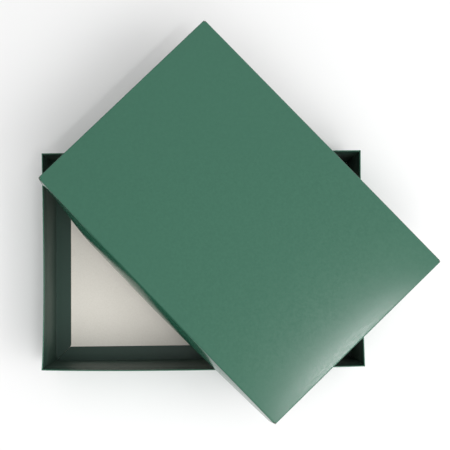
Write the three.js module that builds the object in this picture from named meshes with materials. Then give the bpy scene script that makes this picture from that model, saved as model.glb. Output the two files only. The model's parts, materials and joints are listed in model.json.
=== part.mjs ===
// A folding-card gift box: a shallow tray and a loose lid that lies turned across its rim.
// Tray and lid are made the same way, each from one blank of stiff laminated card. Each wall is folded up
// and rolled over at its rim into a liner, which ends in a flap that lies on the floor. Tabs on the ends of
// the long walls are tucked between the outer card and the liner of the short walls, and lock the corners.
// Millimetres, +Z up. The origin is the centre of the tray's underside, +X along the tray's long side.
import * as THREE from 'three';

// ---- overall sizes ----
const baseLength = 304;        // outside, along X
const baseWidth = 205;         // outside, along Y
const baseHeight = 65;         // underside to rim
const lidHeight = 36;          // top face to the skirt's lower edge

// ---- card and fits ----
const card = 0.5;              // thickness of the laminated card
const layerGap = 0.35;         // air between two layers of a rolled wall
const seam = 0.3;              // gap between panels that meet at a crease or lie on each other
const linerFit = 0.5;          // gap between a short liner's end and the long liner it swings past
const mitreFit = 0.35;         // each floor flap stops this far short of the corner's diagonal
const lidFit = 0.8;            // gap on each side between the lid's liner and the tray's wall, when closed
const restGap = 0.3;           // gap between the tray's rim and the lid that lies on it

// ---- flaps and tabs ----
const longFlap = 14;           // width of the floor flaps along the long walls
const shortFlap = 15;          // width of the floor flaps along the short walls
const tabLength = 30;          // corner tab, from the corner inwards
const tabTaper = 6;            // how much the tab narrows at each side of its free end
const rimNotch = 2;            // height over which a long wall narrows to pass the short wall's rolled rim

// ---- how the lid lies and how its long walls splay ----
const lidTurn = THREE.MathUtils.degToRad(-46.57);
const lidCentre = [34.75, 34.76];
const lidEndLean = 4.3;        // how far the front-left skirt's lower edge leans out at its ends
const lidBow = 6.5;            // how much further it bows out between them
const lidBowSkew = 0.7;        // 1 puts the widest place halfway, and less brings it to the left corner
const backEndLean = 2;         // the same for the back-right skirt, which stands nearly straight
const backBow = 3;

// ---- what follows from them ----
const stack = 3 * card + 2 * layerGap;      // a rolled wall: outer card, tab and liner
const rimRadius = stack / 2;
const lidLength = baseLength + 2 * (stack + lidFit);
const lidWidth = baseWidth + 2 * (stack + lidFit);

// ---- how finely curves are divided ----
const rimSteps = 6;            // facets of the half round at the rim
const bowSteps = 24;           // columns along a bowed wall

const printed = { color: 0x4a7764, roughness: 0.42, metalness: 0 };
const inside = { color: 0x24352e, roughness: 0.5, metalness: 0 };
const unprinted = { color: 0xc6bfb4, roughness: 0.85, metalness: 0 };

function named(name, geometry, look) {
  const mesh = new THREE.Mesh(geometry, new THREE.MeshStandardMaterial(look));
  mesh.name = name;
  return mesh;
}

// Every wall is made in a frame of its own: x along it, y inwards from its outer face, z up from the floor's
// outer face. A leaning wall turns about the crease at its foot, by an angle that can change along x.
function leaned(x, inwards, up, angle) {
  const cos = Math.cos(angle);
  const sin = Math.sin(angle);
  return [x, inwards * cos - up * sin, up * cos + inwards * sin];
}

// A bent strip of card. Each row is { inwards, up, normal: [inwards, up], half }: a point of the card's
// middle surface, its direction outwards, and half the strip's length there.
function strip(rows, columns, lean) {
  const geometry = new THREE.BoxGeometry(1, 1, 1, columns, rows.length - 1, 1);
  const corners = geometry.getAttribute('position');
  for (let i = 0; i < corners.count; i++) {
    const share = Math.round((corners.getX(i) + 0.5) * columns) / columns;
    const row = rows[Math.round((corners.getY(i) + 0.5) * (rows.length - 1))];
    const out = Math.sign(corners.getZ(i)) * card / 2;
    const inwards = row.inwards + out * row.normal[0];
    const up = row.up + out * row.normal[1];
    corners.setXYZ(i, ...leaned((2 * share - 1) * row.half, inwards, up, lean(share)));
  }
  geometry.computeVertexNormals();
  return geometry;
}

// The outer card of a wall, up from the floor and over the rim as a half round.
function wallGeometry(height, half, rimHalf, columns, lean) {
  const upright = (up, halfLength) => ({ inwards: card / 2, up, normal: [-1, 0], half: halfLength });
  const rimFoot = height - rimRadius;
  const rows = [
    upright(card + seam, half),
    upright(rimFoot - seam - rimNotch, half),
    upright(rimFoot - seam, rimHalf),
  ];
  const radius = rimRadius - card / 2;
  for (let i = 0; i <= rimSteps; i++) {
    const angle = Math.PI * (1 - i / rimSteps);
    const normal = [Math.cos(angle), Math.sin(angle)];
    rows.push({
      inwards: rimRadius + radius * normal[0],
      up: rimFoot + radius * normal[1],
      normal,
      half: rimHalf,
    });
  }
  return strip(rows, columns, lean);
}

// The liner hangs from the rolled rim down to the level of its flap.
function linerGeometry(height, half, foot, columns, lean) {
  const row = (up) => ({ inwards: stack - card / 2, up, normal: [-1, 0], half });
  return strip([row(foot), row(height - rimRadius - seam)], columns, lean);
}

// A floor flap: a strip with mitred ends, lying at the height of its liner's lower edge.
function flapGeometry(sideHalf, width, foot) {
  const outer = stack + seam;
  const inner = stack + width;
  const halfAt = (inwards) => sideHalf - inwards - mitreFit;
  const outline = new THREE.Shape([
    new THREE.Vector2(-halfAt(outer), outer),
    new THREE.Vector2(halfAt(outer), outer),
    new THREE.Vector2(halfAt(inner), inner),
    new THREE.Vector2(-halfAt(inner), inner),
  ]);
  const geometry = new THREE.ExtrudeGeometry(outline, { depth: card, bevelEnabled: false });
  geometry.translate(0, 0, foot);
  return geometry;
}

// A corner tab, in the frame of the short wall that holds it. `end` is -1 or 1 for the wall's end that it
// comes from, and it leans with the long wall that it is part of.
function tabGeometry(height, sideHalf, end, lean) {
  const root = card + seam;
  const low = card + seam;
  const high = height - rimRadius - seam;
  const outline = new THREE.Shape([
    new THREE.Vector2(-end * root, low),
    new THREE.Vector2(-end * root, high),
    new THREE.Vector2(-end * tabLength, high - tabTaper),
    new THREE.Vector2(-end * tabLength, low + tabTaper),
  ]);
  const geometry = new THREE.ExtrudeGeometry(outline, { depth: card, bevelEnabled: false });
  geometry.rotateX(Math.PI / 2);
  geometry.translate(0, 2 * card + layerGap, 0);
  geometry.rotateY(end * lean);
  geometry.translate(end * sideHalf, 0, 0);
  return geometry;
}

// A whole tray, open at the top. `leans` gives the angle along each long wall, as a function of the share of
// its length counted from the wall's -x end.
function tray({ name, length, width, height, floorName, floorLook, sides, corners, leans }) {
  const group = new THREE.Group();
  const floor = named(`${name}_${floorName}`, new THREE.BoxGeometry(length, width, card), floorLook);
  floor.position.z = card / 2;
  group.add(floor);

  const upright = () => 0;
  const longFoot = card + seam;
  const shortFoot = 2 * (card + seam);
  const places = [
    { side: 'front', turn: 0, x: 0, y: -width / 2, long: true },
    { side: 'right', turn: Math.PI / 2, x: length / 2, y: 0, long: false },
    { side: 'back', turn: Math.PI, x: 0, y: width / 2, long: true },
    { side: 'left', turn: -Math.PI / 2, x: -length / 2, y: 0, long: false },
  ];
  for (const { side, turn, x, y, long } of places) {
    const wall = new THREE.Group();
    wall.position.set(x, y, 0);
    wall.rotation.z = turn;
    group.add(wall);

    const lean = long && leans[side] ? leans[side] : upright;
    const columns = lean === upright ? 1 : bowSteps;
    const sideHalf = (long ? length : width) / 2;
    const wallHalf = long ? sideHalf - card - seam : sideHalf;
    const rimHalf = long ? sideHalf - stack - seam : sideHalf;
    const linerHalf = long ? sideHalf - 2 * (card + layerGap) : sideHalf - stack - linerFit;
    const foot = long ? longFoot : shortFoot;
    const flap = long ? longFlap : shortFlap;
    const outer = wallGeometry(height, wallHalf, rimHalf, columns, lean);
    const liner = linerGeometry(height, linerHalf, foot, columns, lean);
    wall.add(named(`${name}_wall_${sides[side]}`, outer, printed));
    wall.add(named(`${name}_liner_${sides[side]}`, liner, inside));
    wall.add(named(`${name}_flap_${sides[side]}`, flapGeometry(sideHalf, flap, foot), inside));

    if (!long) {
      // the short wall's -x end meets the long wall on its left, and its +x end the one on its right
      const ends = side === 'right' ? { '-1': 'front', 1: 'back' } : { '-1': 'back', 1: 'front' };
      for (const end of [-1, 1]) {
        const longSide = ends[end];
        const tabLean = leans[longSide] ? leans[longSide](0) : 0;
        const corner = corners[`${longSide}_${side}`];
        wall.add(named(`${name}_tab_${corner}`, tabGeometry(height, sideHalf, end, tabLean), inside));
      }
    }
  }
  return group;
}

// The angle of a splayed wall, from how far its rim stands out at the ends and between them.
function splay(height, endLean, bow, skew) {
  return (share) => Math.asin((endLean + bow * Math.sin(Math.PI * (1 - share) ** skew)) / height);
}

const group = new THREE.Group();

const sameName = (names) => Object.fromEntries(names.map((n) => [n, n]));
group.add(tray({
  name: 'base',
  length: baseLength,
  width: baseWidth,
  height: baseHeight,
  floorName: 'floor',
  floorLook: unprinted,
  sides: sameName(['front', 'right', 'back', 'left']),
  corners: sameName(['front_left', 'front_right', 'back_right', 'back_left']),
  leans: {},
}));

// The lid is a tray turned upside down, about X, so its front and back walls change places. Its sides and
// corners are named by where they point once it lies turned on the tray.
const lid = tray({
  name: 'lid',
  length: lidLength,
  width: lidWidth,
  height: lidHeight,
  floorName: 'top',
  floorLook: printed,
  sides: { front: 'back_right', right: 'front_right', back: 'front_left', left: 'back_left' },
  corners: { front_left: 'back', front_right: 'right', back_right: 'front', back_left: 'left' },
  leans: {
    back: splay(lidHeight, lidEndLean, lidBow, lidBowSkew),
    front: splay(lidHeight, backEndLean, backBow, 1),
  },
});
lid.rotation.x = Math.PI;
const lidPlace = new THREE.Group();
lidPlace.rotation.z = lidTurn;
lidPlace.position.set(...lidCentre, baseHeight + restGap + lidHeight);
lidPlace.add(lid);
group.add(lidPlace);

export default group;
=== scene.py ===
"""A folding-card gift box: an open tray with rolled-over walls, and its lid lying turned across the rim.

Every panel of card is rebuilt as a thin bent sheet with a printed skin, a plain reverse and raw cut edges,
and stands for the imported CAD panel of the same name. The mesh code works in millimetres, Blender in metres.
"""
import json
import math

import bpy
import numpy as np
from mathutils import Matrix, Vector


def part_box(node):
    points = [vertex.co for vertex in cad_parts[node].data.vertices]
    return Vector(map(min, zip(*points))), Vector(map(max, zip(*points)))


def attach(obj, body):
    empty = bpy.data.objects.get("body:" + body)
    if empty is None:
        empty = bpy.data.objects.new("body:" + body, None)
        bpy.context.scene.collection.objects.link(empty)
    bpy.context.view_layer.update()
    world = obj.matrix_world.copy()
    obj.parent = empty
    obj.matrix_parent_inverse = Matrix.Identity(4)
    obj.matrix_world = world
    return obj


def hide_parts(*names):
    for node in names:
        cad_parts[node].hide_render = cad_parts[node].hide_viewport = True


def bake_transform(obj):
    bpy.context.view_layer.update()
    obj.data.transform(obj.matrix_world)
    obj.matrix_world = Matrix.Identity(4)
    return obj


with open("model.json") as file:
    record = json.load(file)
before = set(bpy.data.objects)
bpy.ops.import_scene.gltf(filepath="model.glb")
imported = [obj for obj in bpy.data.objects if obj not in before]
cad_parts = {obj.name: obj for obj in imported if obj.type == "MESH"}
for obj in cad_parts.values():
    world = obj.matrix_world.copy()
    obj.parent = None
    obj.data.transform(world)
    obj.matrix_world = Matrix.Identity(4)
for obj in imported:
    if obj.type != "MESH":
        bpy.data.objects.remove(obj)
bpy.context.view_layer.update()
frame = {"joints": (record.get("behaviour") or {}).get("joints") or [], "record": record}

MM = 0.001
X, Y, Z = 0, 1, 2
LOW, HIGH = 0, 1

# ---------------------------------------------------------------- sizes, read from the frame
joints = {joint["name"]: joint for joint in frame["joints"]}
mounts = {mount["name"]: mount for mount in frame["record"]["mounts"]}
body_of_node = {
    node: body
    for body, nodes in frame["record"]["behaviour"]["bodies"].items()
    for node in nodes
}


def box_mm(node, end, axis):
    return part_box(node)[end][axis] / MM


def size_mm(node, axis):
    return box_mm(node, HIGH, axis) - box_mm(node, LOW, axis)


TRAY_LENGTH = size_mm("base_floor", X)
TRAY_WIDTH = size_mm("base_floor", Y)
TRAY_HEIGHT = box_mm("base_wall_front", HIGH, Z)
CARD = size_mm("base_floor", Z)
STACK = size_mm("base_wall_left", X)              # a rolled wall: outer card, tab and liner
LONG_FLAP = box_mm("base_flap_front", HIGH, Y) + TRAY_WIDTH / 2 - STACK
SHORT_FLAP = box_mm("base_flap_left", HIGH, X) + TRAY_LENGTH / 2 - STACK
LONG_FOOT = box_mm("base_flap_front", LOW, Z)     # the level that each flap lies at
SHORT_FOOT = box_mm("base_flap_left", LOW, Z)
TAB_LENGTH = box_mm("base_tab_front_left", HIGH, Y) + TRAY_WIDTH / 2

# the lid is turned, so its sizes come from its box's sides and the direction of one of its creases
lid_crease = joints["lid_front_right_flap_crease"]["axis"]
LID_TURN = math.atan2(lid_crease[Y], lid_crease[X]) + math.pi / 2
turn_cos, turn_sin = abs(math.cos(LID_TURN)), abs(math.sin(LID_TURN))
lid_across, lid_along = size_mm("lid_top", X), size_mm("lid_top", Y)
LID_LENGTH = (lid_along * turn_sin - lid_across * turn_cos) / (turn_sin**2 - turn_cos**2)
LID_WIDTH = (lid_across * turn_sin - lid_along * turn_cos) / (turn_sin**2 - turn_cos**2)
LID_HEIGHT = box_mm("lid_top", HIGH, Z) - box_mm("lid_wall_back_left", LOW, Z)
LID_PLACE = Vector(mounts["lid_top_face"]["pos_m"]) / MM

# ---------------------------------------------------------------- values of the bent card, in mm
LAYER_GAP = (STACK - 3 * CARD) / 2
HALF_CARD = CARD / 2
WALL_MIDDLE = HALF_CARD          # distance of each layer's middle surface from the wall's outer face
TAB_MIDDLE = 1.5 * CARD + LAYER_GAP
LINER_MIDDLE = STACK - HALF_CARD
FOOT_BEND = 0.6                  # bend radii of the middle surface
TAB_BEND = 0.6
FLAP_BEND = 0.5
RIM_BEND = 0.3                   # the rim is pinched flat, tighter than the layers below it
RIM_THICKNESS = 2 * RIM_BEND + CARD
FLARE = 12.0                     # height over which the liner leaves the pinched rim for its place
TAB_DROP = 8.5                   # a tab's upper edge stays this far below the rim
EDGE_GAP = 0.15                  # gap between a short liner's end and the long liner
RIM_GAP = 0.06                   # gap between the rims of two walls at a corner
MITRE_GAP = 0.1                  # a floor flap stops this far short of the corner's diagonal
TAB_GAP = 0.3                    # gap between a tab's lower edge and the floor
TAB_TAPER = 6.0                  # how much a tab narrows at each side of its free end
FLAP_TURN = 1.3                  # a second point on a flap is taken this far from the liner's middle
LINER_TURN = 2.5                 # a second point on a short liner is taken this far below its top
RUN = 0.5                        # flat card that each panel keeps past a bend, where two panels meet
CUT = 0.3                        # width of the skin that the cutting die pressed down along a cut edge
CUT_DIP = 0.12                   # how deep it is pressed
EDGE_BULGE = 0.05                # how far the middle of a cut edge stands out
FOOT_CORNER = 2.5                # rounding of a short wall's corners beside its foot
CORNER_RADIUS = 1.2              # of the flaps' and tabs' free corners
COLUMN = 5.0                     # spacing of columns along a wall
SHARP_EDGE = math.radians(35)

# ---------------------------------------------------------------- bows and leans of the panels, in mm
LID_FRONT_LEFT_SPLAY = {"ends": 4.3, "bow": 5.3, "bulge": 2.0}
LID_BACK_RIGHT_SPLAY = {"ends": 2.0, "bow": 3.0, "bulge": 0.6}
BOW_START, BOW_FULL = 0.03, 0.24  # shares of a splayed wall's length over which its bow sets in
BOW_FALL = 1.3                   # how the bow fades over the wall's far half
RIPPLE = {                       # how far a wall's card bows inwards between its creases
    "base": {"front": 0.9, "right": 0.9, "back": 0.15, "left": 0.9},
    "lid": {"front": 0.25, "right": 0.25, "back": 0.25, "left": 0.25},
}
RIPPLE_PHASE = {"front": 0.4, "right": 1.9, "back": 3.1, "left": 4.6}
RIPPLE_EVEN = 0.6                # the share of the depth that is the same all along a wall
RIPPLE_WAVES = ((0.25, 2.3, 1), (0.15, 5.1, 2))   # share, half waves per half wall, multiple of the phase
RIPPLE_ENDS = 6                  # the bow fades over the last 1/6 of each half of a wall
FLOOR_RISE = 0.3                 # in the middle of the tray's floor
WALL_REACH = 40.0                # the rims' bow fades over this distance inwards
RIM_OUT = {                      # how far a rim stands out at its ends and between them, and the bow's skew
    "front": (0.7, 1.8, 0.8),
    "back": (0.0, 0.3, 1.0),
    "left": (0.3, -1.7, 0.7),
    "right": (0.9, -1.2, 1.0),
}
LID_SAG = 0.5                    # in the middle of the lid's top
LID_DROOP = 0.5                  # at the top's front-right edge
DROOP_DEPTH = 2.0                # the droop is gone this far inside the lid's top, so its flaps stay clear
DROOP_REACH = 18.0               # how quickly the droop fades away from the front-right edge
DROOP_FRONT = (-0.1, 0.14)       # shares of that edge over which the droop sets in from its front corner
DROOP_RIGHT = (0.02, 0.34)       # and from its right corner


# ---------------------------------------------------------------- rows across a bent strip
def trace(start, heading, skin, moves):
    """Rows of (point, skin normal, wear) across a strip, in the plane of (inwards, up).

    ("go", length, steps) is straight on, and ("bend", radius, degrees, steps) turns away from the printed
    skin, or towards it where the radius is negative. Wear is 1 in the middle of a bend.
    """
    point, heading, skin = (np.array(v, float) for v in (start, heading, skin))
    rows = [(point, skin, 0.0)]
    for kind, size, *rest in moves:
        if kind == "go":
            for step in range(1, rest[0] + 1):
                rows.append((point + heading * size * step / rest[0], skin, 0.0))
            point = rows[-1][0]
            continue
        degrees, steps = rest
        centre = point - skin * size
        turned_skin, turned_heading = skin, heading
        for step in range(1, steps + 1):
            angle = math.copysign(math.radians(degrees) * step / steps, size)
            turned_skin = skin * math.cos(angle) + heading * math.sin(angle)
            turned_heading = heading * math.cos(angle) - skin * math.sin(angle)
            wear = math.sin(math.pi * step / steps) if 0 < size < 1 else 0.0
            rows.append((centre + turned_skin * size, turned_skin, wear))
        point, skin, heading = rows[-1][0], turned_skin, turned_heading
    return rows


def columns(half):
    """Positions from -1 to 1 along a strip, closer together at its cut ends."""
    count = max(2, round(2 * half / COLUMN))
    inner = np.linspace(-1 + 2 * CUT / half, 1 - 2 * CUT / half, count)
    return np.concatenate([[-1, -1 + CUT / half], inner, [1 - CUT / half, 1]])


# ---------------------------------------------------------------- closed sheets of card
SKIN, REVERSE, RAW = 0, 1, 2


def boundary(rows, cols):
    """Row and column of every point along a grid's border, in order."""
    ring = [(0, c) for c in range(cols - 1)]
    ring += [(r, cols - 1) for r in range(rows - 1)]
    ring += [(rows - 1, c) for c in range(cols - 1, 0, -1)]
    ring += [(r, 0) for r in range(rows - 1, 0, -1)]
    return ring


def card_object(node, skin, back, wear, materials):
    """A closed sheet for a node, between two grids of points in mm, with slightly rounded raw edges."""
    rows, cols = skin.shape[:2]
    ring = boundary(rows, cols)
    count = rows * cols
    inner = np.clip([[r, c] for r, c in ring], 1, [rows - 2, cols - 2])
    middle = []
    for (r, c), (ir, ic) in zip(ring, inner):
        centre = (skin[r, c] + back[r, c]) / 2
        away = centre - (skin[ir, ic] + back[ir, ic]) / 2
        middle.append(centre + away / max(np.linalg.norm(away), 1e-6) * EDGE_BULGE)
    points = np.concatenate([skin.reshape(-1, 3), back.reshape(-1, 3), np.array(middle)])

    def at(r, c):
        return r * cols + c

    faces, looks = [], []
    for r in range(rows - 1):
        for c in range(cols - 1):
            quad = [at(r, c), at(r, c + 1), at(r + 1, c + 1), at(r + 1, c)]
            faces.append(quad)
            faces.append([v + count for v in reversed(quad)])
            looks += [SKIN, REVERSE]
    for i, here in enumerate(ring):
        after = (i + 1) % len(ring)
        a, b = at(*here), at(*ring[after])
        faces.append([b, a, 2 * count + i, 2 * count + after])
        faces.append([2 * count + after, 2 * count + i, a + count, b + count])
        looks += [RAW, RAW]

    r, c = rows // 2, cols // 2
    across = np.cross(skin[r, c + 1] - skin[r, c], skin[r + 1, c] - skin[r, c])
    if np.dot(across, skin[r, c] - back[r, c]) < 0:
        faces = [face[::-1] for face in faces]

    name = f"{node}_card"
    mesh = bpy.data.meshes.new(name)
    mesh.from_pydata((points * MM).tolist(), [], faces)
    mesh.polygons.foreach_set("material_index", looks)
    for material in materials:
        mesh.materials.append(material)
    worn = mesh.attributes.new("wear", "FLOAT", "POINT")
    flat = np.concatenate([wear.ravel(), np.zeros(count), np.zeros(len(ring))])
    worn.data.foreach_set("value", flat.astype(np.float32))
    mesh.shade_smooth()
    mesh.set_sharp_from_angle(angle=SHARP_EDGE)
    piece = bpy.data.objects.new(name, mesh)
    bpy.context.scene.collection.objects.link(piece)
    return piece


def press_cuts(skin, back, free_end):
    """Rounds the printed skin down along the cut sides, and the free end, where the die pressed it."""
    towards = back - skin
    towards /= np.linalg.norm(towards, axis=2, keepdims=True)
    share = np.zeros(skin.shape[:2])
    share[:, 0] = share[:, -1] = 1
    if free_end:
        share[-1] = 1
    return skin + towards * CUT_DIP * share[..., None]


# ---------------------------------------------------------------- trays
class Tray:
    """The tray, or the lid as a tray turned upside down. Each wall has a frame of its own: x along it,
    inwards from its outer face, and up from the floor's outer face."""

    def __init__(self, name, length, width, height, sides, corners, splays, place, settle):
        self.name, self.length, self.width, self.height = name, length, width, height
        self.sides = sides           # the label in its nodes' names of each side
        self.corners = corners       # and of the corner at each end of a long side
        self.splays, self.place, self.settle = splays, place, settle

    def half(self, side):
        return (self.length if side in ("front", "back") else self.width) / 2

    def lean(self, side, share):
        """The angle that a wall leans out by, at each share of its length."""
        splay = self.splays.get(side)
        if splay is None:
            return np.zeros_like(share)
        return np.arcsin((splay["ends"] + splay["bow"] * bow_along(1 - share)) / self.height)

    def to_world(self, points):
        """Points in the tray's own frame, settled and placed."""
        points = self.settle(points)
        turn = np.array(self.place.to_3x3())
        return points @ turn.T + np.array(self.place.translation)

    def on_wall(self, side, x, inwards, up, leaning):
        """Points given in a wall's frame. leaning is the share of the wall's lean that each point takes."""
        x, inwards, up, leaning = np.broadcast_arrays(x, inwards, up, leaning)
        half = self.half(side)
        share = np.clip((x / half + 1) / 2, 0, 1)
        height_share = np.clip(up / self.height, 0, 1)
        inwards = inwards + ripple(x / half, height_share, side, RIPPLE[self.name][side])
        if side in self.splays:
            bulge = self.splays[side]["bulge"] * bow_along(1 - share)
            inwards = inwards - bulge * np.sin(math.pi * height_share)
        angle = self.lean(side, share) * leaning
        y = inwards * np.cos(angle) - up * np.sin(angle)
        z = up * np.cos(angle) + inwards * np.sin(angle)
        turn, corner = {
            "front": (0, (0, -self.width / 2)),
            "right": (math.pi / 2, (self.length / 2, 0)),
            "back": (math.pi, (0, self.width / 2)),
            "left": (-math.pi / 2, (-self.length / 2, 0)),
        }[side]
        points = np.stack([
            x * math.cos(turn) - y * math.sin(turn) + corner[X],
            x * math.sin(turn) + y * math.cos(turn) + corner[Y],
            z,
        ], axis=-1)
        return self.to_world(points)


def smooth(value, low, high):
    share = np.clip((value - low) / (high - low), 0, 1)
    return share * share * (3 - 2 * share)


def bow_along(share):
    """How a splayed wall bows along its length: it sets in quickly at one corner and fades by the other."""
    return smooth(share, BOW_START, BOW_FULL) * (1 - np.clip(2 * share - 1, 0, 1) ** BOW_FALL)


def ripple(along, height_share, side, depth):
    """Slight bows of a wall's card, always inwards, and none at its foot, rim and ends."""
    wave = RIPPLE_EVEN
    for part, half_waves, multiple in RIPPLE_WAVES:
        wave = wave + part * np.sin(half_waves * math.pi * along + multiple * RIPPLE_PHASE[side])
    ends = np.clip(RIPPLE_ENDS * (1 - np.abs(along)), 0, 1)
    return depth * wave * np.sin(math.pi * height_share) ** 2 * ends


def strip_object(node, tray, side, rows, half_at, lean_at, materials, free_end=False):
    """A panel of a wall, from rows across it. half_at and lean_at give, for a row's inwards and up, half its
    length and its share of the wall's lean. The last row is a cut edge where free_end is true."""
    spots = columns(tray.half(side))
    skin, back = [], []
    for (inwards, up), normal, _ in rows:
        half, leaning = half_at(inwards, up), lean_at(inwards, up)
        for grid, out in ((skin, HALF_CARD), (back, -HALF_CARD)):
            across, level = inwards + out * normal[0], up + out * normal[1]
            grid.append(tray.on_wall(side, spots * half, across, level, leaning))
    skin, back = np.array(skin), np.array(back)
    skin = press_cuts(skin, back, free_end)
    wear = np.array([[row[2]] * len(spots) for row in rows])
    return card_object(node, skin, back, wear, materials)


def share_of(value, low, high):
    return float(np.clip((value - low) / (high - low), 0, 1))


def rounded_end(half, left, radius):
    """Half a row's length near a free edge, with the corner rounded. left is the distance to the edge."""
    if left >= radius:
        return half
    return half - radius + math.sqrt(max(radius**2 - (radius - left) ** 2, 0))


def build_tray(tray, floor_node, printed, rolled):
    for side, label in tray.sides.items():
        long = side in ("front", "back")
        side_half = tray.half(side)
        rim_foot = tray.height - HALF_CARD - RIM_BEND

        # outer card: from the floor out, up, and over the rim
        wall_rows = trace((HALF_CARD + FOOT_BEND + RUN, HALF_CARD), (-1, 0), (0, -1), [
            ("go", RUN, 1),
            ("bend", FOOT_BEND, 90, 6),
            ("go", tray.height - TAB_DROP - HALF_CARD - FOOT_BEND, 10),
            ("go", RUN, 1),
            ("go", rim_foot - tray.height + TAB_DROP - RUN, 2),
            ("bend", RIM_BEND, 180, 10),
            ("go", RUN, 1),
        ])
        tab_start = side_half - TAB_MIDDLE - TAB_BEND - RUN
        rim_half = side_half - RIM_THICKNESS - RIM_GAP

        def wall_half(inwards, up):
            if not long:
                return rounded_end(side_half, up, FOOT_CORNER)
            step = tray.height - TAB_DROP
            return tab_start + (rim_half - tab_start) * share_of(up, step, step + RUN)

        def wall_lean(inwards, up):
            return share_of(up, HALF_CARD, HALF_CARD + FOOT_BEND)

        wall_node = f"{tray.name}_wall_{label}"
        wall = strip_object(wall_node, tray, side, wall_rows, wall_half, wall_lean, printed)
        finish_piece(wall, wall_node)

        # liner, hanging from the rim: a long one ends behind the short liners, which stop in front of it
        foot = (LONG_FOOT if long else SHORT_FOOT) + HALF_CARD
        liner_end = side_half - LINER_MIDDLE + (HALF_CARD if long else -HALF_CARD - EDGE_GAP)
        top = rim_foot - RUN
        bottom = foot + FLAP_BEND + RUN
        shift = LINER_MIDDLE - HALF_CARD - 2 * RIM_BEND
        flare_angle = 2 * math.atan(shift / FLARE)
        flare_radius = FLARE / 2 / math.sin(flare_angle)
        liner_rows = trace((LINER_MIDDLE - shift, top), (0, -1), (1, 0), [
            ("bend", -flare_radius, math.degrees(flare_angle), 5),
            ("bend", flare_radius, math.degrees(flare_angle), 5),
            ("go", top - FLARE - bottom, 10),
        ])

        def liner_half(inwards, up):
            return liner_end + LINER_MIDDLE - inwards

        def liner_lean(inwards, up):
            return 1

        liner_node = f"{tray.name}_liner_{label}"
        liner = strip_object(liner_node, tray, side, liner_rows, liner_half, liner_lean, rolled)
        if long:
            finish_piece(liner, liner_node)
        else:
            hang = [tray.on_wall(side, 0, LINER_MIDDLE, level, 1) for level in (top, top - LINER_TURN)]
            finish_piece(liner, liner_node, wall_node)

        # floor flap with mitred ends
        edge = STACK + (LONG_FLAP if long else SHORT_FLAP)
        flap_rows = trace((LINER_MIDDLE, bottom), (0, -1), (1, 0), [
            ("go", RUN, 1),
            ("bend", -FLAP_BEND, 90, 5),
            ("go", edge - LINER_MIDDLE - FLAP_BEND - CORNER_RADIUS, 8),
            ("go", CORNER_RADIUS - CUT, 4),
            ("go", CUT, 1),
        ])

        def flap_half(inwards, up):
            mitre = side_half - inwards - MITRE_GAP
            return rounded_end(min(mitre, liner_end), edge - inwards, CORNER_RADIUS)

        def flap_lean(inwards, up):
            return share_of(up, foot, foot + FLAP_BEND)

        flap_node = f"{tray.name}_flap_{label}"
        flap = strip_object(flap_node, tray, side, flap_rows, flap_half, flap_lean, rolled, free_end=True)
        turn = [tray.on_wall(side, 0, LINER_MIDDLE + way, foot, 0) for way in (0, FLAP_TURN)]
        finish_piece(flap, flap_node, liner_node)

        if long:
            for end in (-1, 1):
                build_tab(tray, side, end, rolled)
    build_floor(tray, f"{tray.name}_{floor_node}", printed)


def finish_piece(piece, node, hung_from=None):
    """The piece stands for its node, whose CAD part is hidden. A piece that hangs from no other node joins
    its node's body; one that hangs from another node is baked into world space and joins no body."""
    if hung_from is None:
        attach(piece, body_of_node[node])
    else:
        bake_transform(piece)
    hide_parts(node)


def build_tab(tray, side, end, materials):
    """The tab on a long wall's end, bent round the corner and tucked inside the short wall."""
    half = tray.half(side)
    low = CARD + TAB_GAP
    high = tray.height - TAB_DROP
    # the path is in the plane of (towards the corner, inwards), counted from the corner outwards
    start = (half - TAB_MIDDLE - TAB_BEND - RUN, WALL_MIDDLE)
    straight = TAB_LENGTH - WALL_MIDDLE - TAB_BEND
    path = trace(start, (1, 0), (0, -1), [
        ("go", RUN, 1),
        ("bend", TAB_BEND, 90, 6),
        ("go", straight - CORNER_RADIUS, 6),
        ("go", CORNER_RADIUS - CUT, 4),
        ("go", CUT, 1),
    ])
    spots = columns((high - low) / 2)
    skin, back = [], []
    for (along, inwards), normal, _ in path:
        share = share_of(inwards, WALL_MIDDLE + TAB_BEND, TAB_LENGTH)
        reach = (high - low) / 2 - share * TAB_TAPER
        reach = rounded_end(reach, TAB_LENGTH - inwards, CORNER_RADIUS)
        up = (high + low) / 2 + spots * reach
        for grid, out in ((skin, HALF_CARD), (back, -HALF_CARD)):
            x = end * (along + out * normal[0])
            grid.append(tray.on_wall(side, x, inwards + out * normal[1], up, 1))
    skin, back = np.array(skin), np.array(back)
    skin = press_cuts(skin, back, free_end=True)
    wear = np.array([[row[2]] * len(spots) for row in path])
    node = f"{tray.name}_tab_{tray.corners[side, end]}"
    finish_piece(card_object(node, skin, back, wear, materials), node)


def build_floor(tray, node, materials):
    """The floor, or the lid's top, between the walls' foot bends."""
    inset = HALF_CARD + FOOT_BEND + RUN
    half_x, half_y = tray.length / 2 - inset, tray.width / 2 - inset
    xs = np.linspace(-half_x, half_x, round(2 * half_x / COLUMN) + 1)
    ys = np.linspace(-half_y, half_y, round(2 * half_y / COLUMN) + 1)
    grid_y, grid_x = np.meshgrid(ys, xs)
    layers = []
    for level in (0, CARD):
        points = np.stack([grid_x, grid_y, np.full_like(grid_x, level)], axis=-1)
        layers.append(tray.to_world(points))
    wear = np.zeros(grid_x.shape)
    finish_piece(card_object(node, layers[0], layers[1], wear, materials), node)


# ---------------------------------------------------------------- how tray and lid settle
def rim_out(side, share):
    ends, bow, skew = RIM_OUT[side]
    return ends + bow * np.sin(math.pi * np.clip(share, 0, 1) ** skew)


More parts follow.
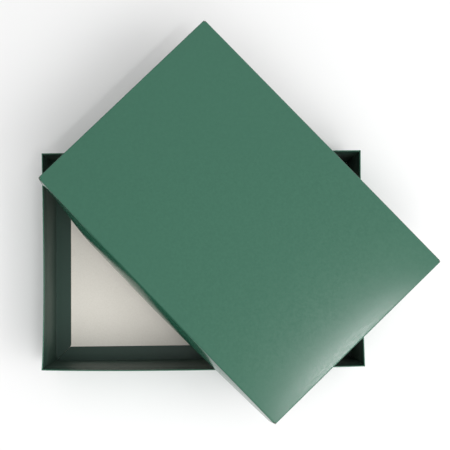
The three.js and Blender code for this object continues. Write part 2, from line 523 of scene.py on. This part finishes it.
def settle_tray(points):
    """The floor rises a little between the walls, and the rims bow in or out."""
    x, y, z = points[..., X], points[..., Y], points[..., Z]
    height = np.clip(z / TRAY_HEIGHT, 0, 1)
    along, across = x / TRAY_LENGTH + 0.5, y / TRAY_WIDTH + 0.5
    rise = FLOOR_RISE * np.clip(np.sin(math.pi * along) * np.sin(math.pi * across), 0, 1) * (1 - height)

    def near(gap):
        return smooth(WALL_REACH - gap, 0, WALL_REACH) * height

    out_x = (near(TRAY_LENGTH / 2 - x) * rim_out("right", across)
             - near(TRAY_LENGTH / 2 + x) * rim_out("left", across))
    out_y = (near(TRAY_WIDTH / 2 - y) * rim_out("back", along)
             - near(TRAY_WIDTH / 2 + y) * rim_out("front", along))
    return np.stack([x + out_x, y + out_y, z + rise], axis=-1)


def settle_lid(points):
    """The top sags in the middle, and droops slightly at its front-right edge."""
    x, y, z = points[..., X], points[..., Y], points[..., Z]
    along = np.clip(np.abs(x) * 2 / LID_LENGTH, 0, 1)
    across = np.clip(np.abs(y) * 2 / LID_WIDTH, 0, 1)
    sag = LID_SAG * (1 - along**2) * (1 - across**2)
    from_edge = LID_LENGTH / 2 - np.clip(x, None, LID_LENGTH / 2)
    share = 0.5 - y / LID_WIDTH
    held = smooth(share, *DROOP_FRONT) * smooth(1 - share, *DROOP_RIGHT)
    droop = LID_DROOP * held * np.exp(-from_edge / DROOP_REACH)
    fade = np.clip(1 - z / LID_HEIGHT, 0, 1)
    skin_fade = np.clip(1 - (z - CARD) / DROOP_DEPTH, 0, 1)
    return np.stack([x, y, z + sag * fade + droop * skin_fade], axis=-1)


# ---------------------------------------------------------------- materials
def new_material(name):
    material = bpy.data.materials.new(name)
    material.use_nodes = True
    nodes, links = material.node_tree.nodes, material.node_tree.links
    return material, nodes, links, nodes["Principled BSDF"]


def feed(links, socket, value):
    """Links a socket to another node's output, or sets it to a plain value."""
    if isinstance(value, bpy.types.NodeSocket):
        links.new(value, socket)
    else:
        socket.default_value = value


def node_maker(nodes, links):
    def make(kind, values=None, **inputs):
        """A new node, with its settings in values and its sockets by name, _ for a space."""
        node = nodes.new(kind)
        for key, value in (values or {}).items():
            setattr(node, key, value)
        for key, value in inputs.items():
            feed(links, node.inputs[key.replace("_", " ")], value)
        return node
    return make


def linear(r, g, b):
    """A colour given as 0-255 sRGB values, as Blender's linear values."""
    channels = [c / 255 for c in (r, g, b)]
    return tuple(c / 12.92 if c <= 0.04045 else ((c + 0.055) / 1.055) ** 2.4 for c in channels) + (1.0,)


MIX_FACTOR, MIX_A, MIX_B, MIX_RESULT = 0, 6, 7, 2   # a Mix node's sockets for colours


def mixed(make, links, factor, a, b):
    """Colour a, turned towards colour b by factor."""
    node = make("ShaderNodeMix", {"data_type": "RGBA"})
    for number, value in ((MIX_FACTOR, factor), (MIX_A, a), (MIX_B, b)):
        feed(links, node.inputs[number], value)
    return node.outputs[MIX_RESULT]


def calculated(make, links, operation, a, b):
    node = make("ShaderNodeMath", {"operation": operation})
    for socket, value in zip(node.inputs, (a, b)):
        feed(links, socket, value)
    return node.outputs[0]


def ranged(make, value, low, high, to_low, to_high):
    limits = {"From_Min": low, "From_Max": high, "To_Min": to_low, "To_Max": to_high}
    return make("ShaderNodeMapRange", Value=value, **limits).outputs[0]


def noise(make, place, scale, detail=3.0, roughness=0.55):
    node = make("ShaderNodeTexNoise", Vector=place, Scale=scale, Detail=detail, Roughness=roughness)
    return node.outputs[0]


CLOUD, MOTTLE, GRAIN = 9.0, 420.0, 1900.0           # noise scales, per metre
PULP_CLOUD, PULP, FLECKS = 14.0, 700.0, 1500.0
SHEEN_ROUGHNESS = 0.35
SHEEN_TINT = (0.85, 1.0, 0.88, 1)


def laminated(name, dark, light, worn, roughness, specular, sheen):
    """Printed, laminated card: soft mottle and fibre grain under a satin film, worn along its creases."""
    material, nodes, links, shader = new_material(name)
    make = node_maker(nodes, links)
    place = make("ShaderNodeTexCoord").outputs["Object"]
    cloud = noise(make, place, CLOUD, 2.0)
    mottle = noise(make, place, MOTTLE, 4.0, 0.6)
    grain = noise(make, place, GRAIN, 2.0)

    tone = mixed(make, links, ranged(make, mottle, 0.3, 0.7, 0, 1), dark, light)
    tone = mixed(make, links, ranged(make, cloud, 0.3, 0.7, 0, 0.35), tone, light)
    wear = make("ShaderNodeAttribute", {"attribute_name": "wear"}).outputs["Fac"]
    patch = calculated(make, links, "MULTIPLY", wear, ranged(make, grain, 0.35, 0.75, 0.1, 0.8))
    links.new(mixed(make, links, patch, tone, worn), shader.inputs["Base Color"])

    rough = ranged(make, mottle, 0.25, 0.75, roughness - 0.03, roughness + 0.05)
    links.new(rough, shader.inputs["Roughness"])
    shader.inputs["Specular IOR Level"].default_value = specular
    shader.inputs["Sheen Weight"].default_value = sheen
    shader.inputs["Sheen Roughness"].default_value = SHEEN_ROUGHNESS
    shader.inputs["Sheen Tint"].default_value = SHEEN_TINT
    fine = make("ShaderNodeBump", Strength=0.12, Distance=0.00002, Height=grain)
    soft = make("ShaderNodeBump", Strength=0.15, Distance=0.00004, Height=mottle, Normal=fine.outputs[0])
    links.new(soft.outputs[0], shader.inputs["Normal"])
    return material


def bare_card(name, dark, light, fleck, layered):
    """The unprinted reverse of the card, or its cut edge, where the layers of pulp show as fine lines."""
    material, nodes, links, shader = new_material(name)
    make = node_maker(nodes, links)
    place = make("ShaderNodeTexCoord").outputs["Object"]
    if layered:
        stretch = make("ShaderNodeMapping", Vector=place)
        stretch.inputs["Scale"].default_value = (1, 1, 6)
        place = stretch.outputs[0]
    cloud = noise(make, place, PULP_CLOUD, 3.0)
    pulp = noise(make, place, PULP, 5.0, 0.65)
    flecks = noise(make, place, FLECKS, 1.0)

    tone = mixed(make, links, ranged(make, pulp, 0.3, 0.7, 0, 1), dark, light)
    tone = mixed(make, links, ranged(make, cloud, 0.35, 0.65, 0, 0.3), tone, light)
    tone = mixed(make, links, ranged(make, flecks, 0.66, 0.74, 0, 0.5), tone, fleck)
    links.new(tone, shader.inputs["Base Color"])
    links.new(ranged(make, pulp, 0.3, 0.7, 0.8, 0.95), shader.inputs["Roughness"])
    shader.inputs["Specular IOR Level"].default_value = 0.3
    bump = make("ShaderNodeBump", Strength=0.4, Distance=0.00006, Height=pulp)
    links.new(bump.outputs[0], shader.inputs["Normal"])
    return material


# ---------------------------------------------------------------- build
green = laminated("printed_green", linear(39, 92, 72), linear(43, 97, 76), linear(54, 104, 85),
                  roughness=0.185, specular=0.48, sheen=0.0)
# painted shade: the same printed green as the lid's top, painted darker for the liners, flaps and tabs rolled
# inside the walls, where they lie in shade
shaded_green = laminated("rolled_green", linear(24, 54, 43), linear(28, 59, 48), linear(50, 78, 68),
                       roughness=0.5, specular=0.5, sheen=0.05)
reverse = bare_card("plain_reverse", linear(232, 228, 218), linear(240, 236, 227), linear(206, 196, 180),
                    layered=False)
raw = bare_card("raw_edge", linear(158, 160, 150), linear(178, 180, 170), linear(120, 120, 108),
                layered=True)
# painted shade: the whitish raw cut edge painted dark grey-green, as it looks in the shade of the rims,
# corners and mitres
shaded_raw = bare_card("rolled_edge", linear(64, 74, 66), linear(80, 88, 80), linear(50, 58, 50),
                       layered=True)
LID_CARD = [green, reverse, raw]
# the tray's walls take the raw edge with painted shade
TRAY_CARD = [green, reverse, shaded_raw]
# the liners, flaps and tabs take the green with painted shade, and the raw edge with painted shade
ROLLED_SHADED = [shaded_green, reverse, shaded_raw]

tray_sides = {side: side for side in ("front", "right", "back", "left")}
tray_corners = {("front", -1): "front_left", ("front", 1): "front_right",
                ("back", -1): "back_right", ("back", 1): "back_left"}
lid_sides = {"front": "back_right", "right": "front_right", "back": "front_left", "left": "back_left"}
lid_corners = {("front", -1): "back", ("front", 1): "right", ("back", -1): "front", ("back", 1): "left"}
lid_splays = {"back": LID_FRONT_LEFT_SPLAY, "front": LID_BACK_RIGHT_SPLAY}
upside_down = Matrix.Rotation(math.pi, 4, "X")
lid_place = Matrix.Translation(LID_PLACE) @ Matrix.Rotation(LID_TURN, 4, "Z") @ upside_down

base = Tray("base", TRAY_LENGTH, TRAY_WIDTH, TRAY_HEIGHT, tray_sides, tray_corners, {},
            Matrix.Identity(4), settle_tray)
lid = Tray("lid", LID_LENGTH, LID_WIDTH, LID_HEIGHT, lid_sides, lid_corners, lid_splays,
           lid_place, settle_lid)
build_tray(base, "floor", TRAY_CARD, ROLLED_SHADED)
build_tray(lid, "top", LID_CARD, ROLLED_SHADED)

# ---------------------------------------------------------------- floor, light and camera
GROUND_SIZE = 8.0
GROUND_COLOUR = (0.855, 0.855, 0.855, 1)
SKY = [(0.0, 0.2), (0.4, 0.4), (0.7, 0.9), (0.93, 1.25), (0.96, 1.05), (1.0, 1.0)]   # (height, brightness)
SKY_TILT = (0.45, -0.2, 0.0)     # the sky is brighter on this side
CAMERA_PLACE = (0.01412, -0.01544, 0.89145)
CAMERA_TURN = (-3.288, 0.548, 0.620)                  # degrees about X, Y and Z
CAMERA_LENS, CAMERA_SENSOR = 69.6, 36.0


def floor_material():
    material, nodes, links, shader = new_material("studio_floor")
    make = node_maker(nodes, links)
    place = make("ShaderNodeTexCoord").outputs["Object"]
    tone = noise(make, place, 3.0, 2.0)
    links.new(ranged(make, tone, 0.3, 0.7, 0.7, 0.8), shader.inputs["Roughness"])
    shader.inputs["Base Color"].default_value = GROUND_COLOUR
    return material


def studio_sky():
    """A plain grey sky, darker towards the horizon and brighter on one side."""
    world = bpy.data.worlds.new("studio")
    world.use_nodes = True
    nodes, links = world.node_tree.nodes, world.node_tree.links
    sky = nodes["Background"]
    sky.inputs["Color"].default_value = (1, 1, 1, 1)
    make = node_maker(nodes, links)
    direction = make("ShaderNodeTexCoord").outputs["Generated"]
    height = make("ShaderNodeSeparateXYZ", Vector=direction).outputs["Z"]
    ramp = make("ShaderNodeValToRGB", Fac=height)
    for i, (position, brightness) in enumerate(SKY):
        stop = ramp.color_ramp.elements[i] if i < 2 else ramp.color_ramp.elements.new(position)
        stop.position = position
        stop.color = (brightness, brightness, brightness, 1)
    tilt = make("ShaderNodeVectorMath", {"operation": "DOT_PRODUCT"}, Vector=direction)
    tilt.inputs[1].default_value = SKY_TILT
    side = calculated(make, links, "ADD", tilt.outputs["Value"], 1.0)
    links.new(calculated(make, links, "MULTIPLY", ramp.outputs[0], side), sky.inputs["Strength"])
    return world


def softbox(name, location, target, width, height, radiance, long_axis=0.0):
    """A rectangular light that faces target. long_axis is the direction of its width, seen from above."""
    light = bpy.data.lights.new(name, "AREA")
    light.shape = "RECTANGLE"
    light.size, light.size_y = width, height
    light.energy = radiance * math.pi * width * height
    holder = bpy.data.objects.new(name, light)
    away = (Vector(location) - Vector(target)).normalized()
    along = Vector((math.cos(long_axis), math.sin(long_axis), 0))
    along = (along - away * along.dot(away)).normalized()
    turned = Matrix((along, away.cross(along), away)).transposed().to_4x4()
    holder.matrix_world = Matrix.Translation(location) @ turned
    bpy.context.scene.collection.objects.link(holder)


def add_camera():
    data = bpy.data.cameras.new("camera")
    data.sensor_width = CAMERA_SENSOR
    data.lens = CAMERA_LENS
    camera = bpy.data.objects.new("camera", data)
    about_x, about_y, about_z = (Matrix.Rotation(math.radians(angle), 3, axis)
                                 for angle, axis in zip(CAMERA_TURN, "XYZ"))
    turn = about_z @ about_y @ about_x
    camera.matrix_world = Matrix.Translation(CAMERA_PLACE) @ turn.transposed().to_4x4()
    bpy.context.scene.collection.objects.link(camera)
    bpy.context.scene.camera = camera


bpy.ops.mesh.primitive_plane_add(size=GROUND_SIZE, location=(0, 0, 0))
ground = bpy.context.object
ground.name = "studio_floor"
ground.data.materials.append(floor_material())

bpy.context.scene.world = studio_sky()
# the strip is mirrored just past the lid's front-right edge, and its glow fades over the lid's top
softbox("strip", (0.4704, -0.324, 2.0), (0.14, -0.08, 0.1), width=0.4, height=0.08, radiance=37.0,
        long_axis=math.radians(43.4))
softbox("side", (1.1, -0.35, 1.05), (0.0, 0.0, 0.0), width=0.9, height=0.9, radiance=2.6)
softbox("front", (0.4, -0.85, 1.3), (0.0, 0.0, 0.0), width=1.0, height=0.7, radiance=2.6)
add_camera()
bpy.context.scene.view_settings.view_transform = "Standard"
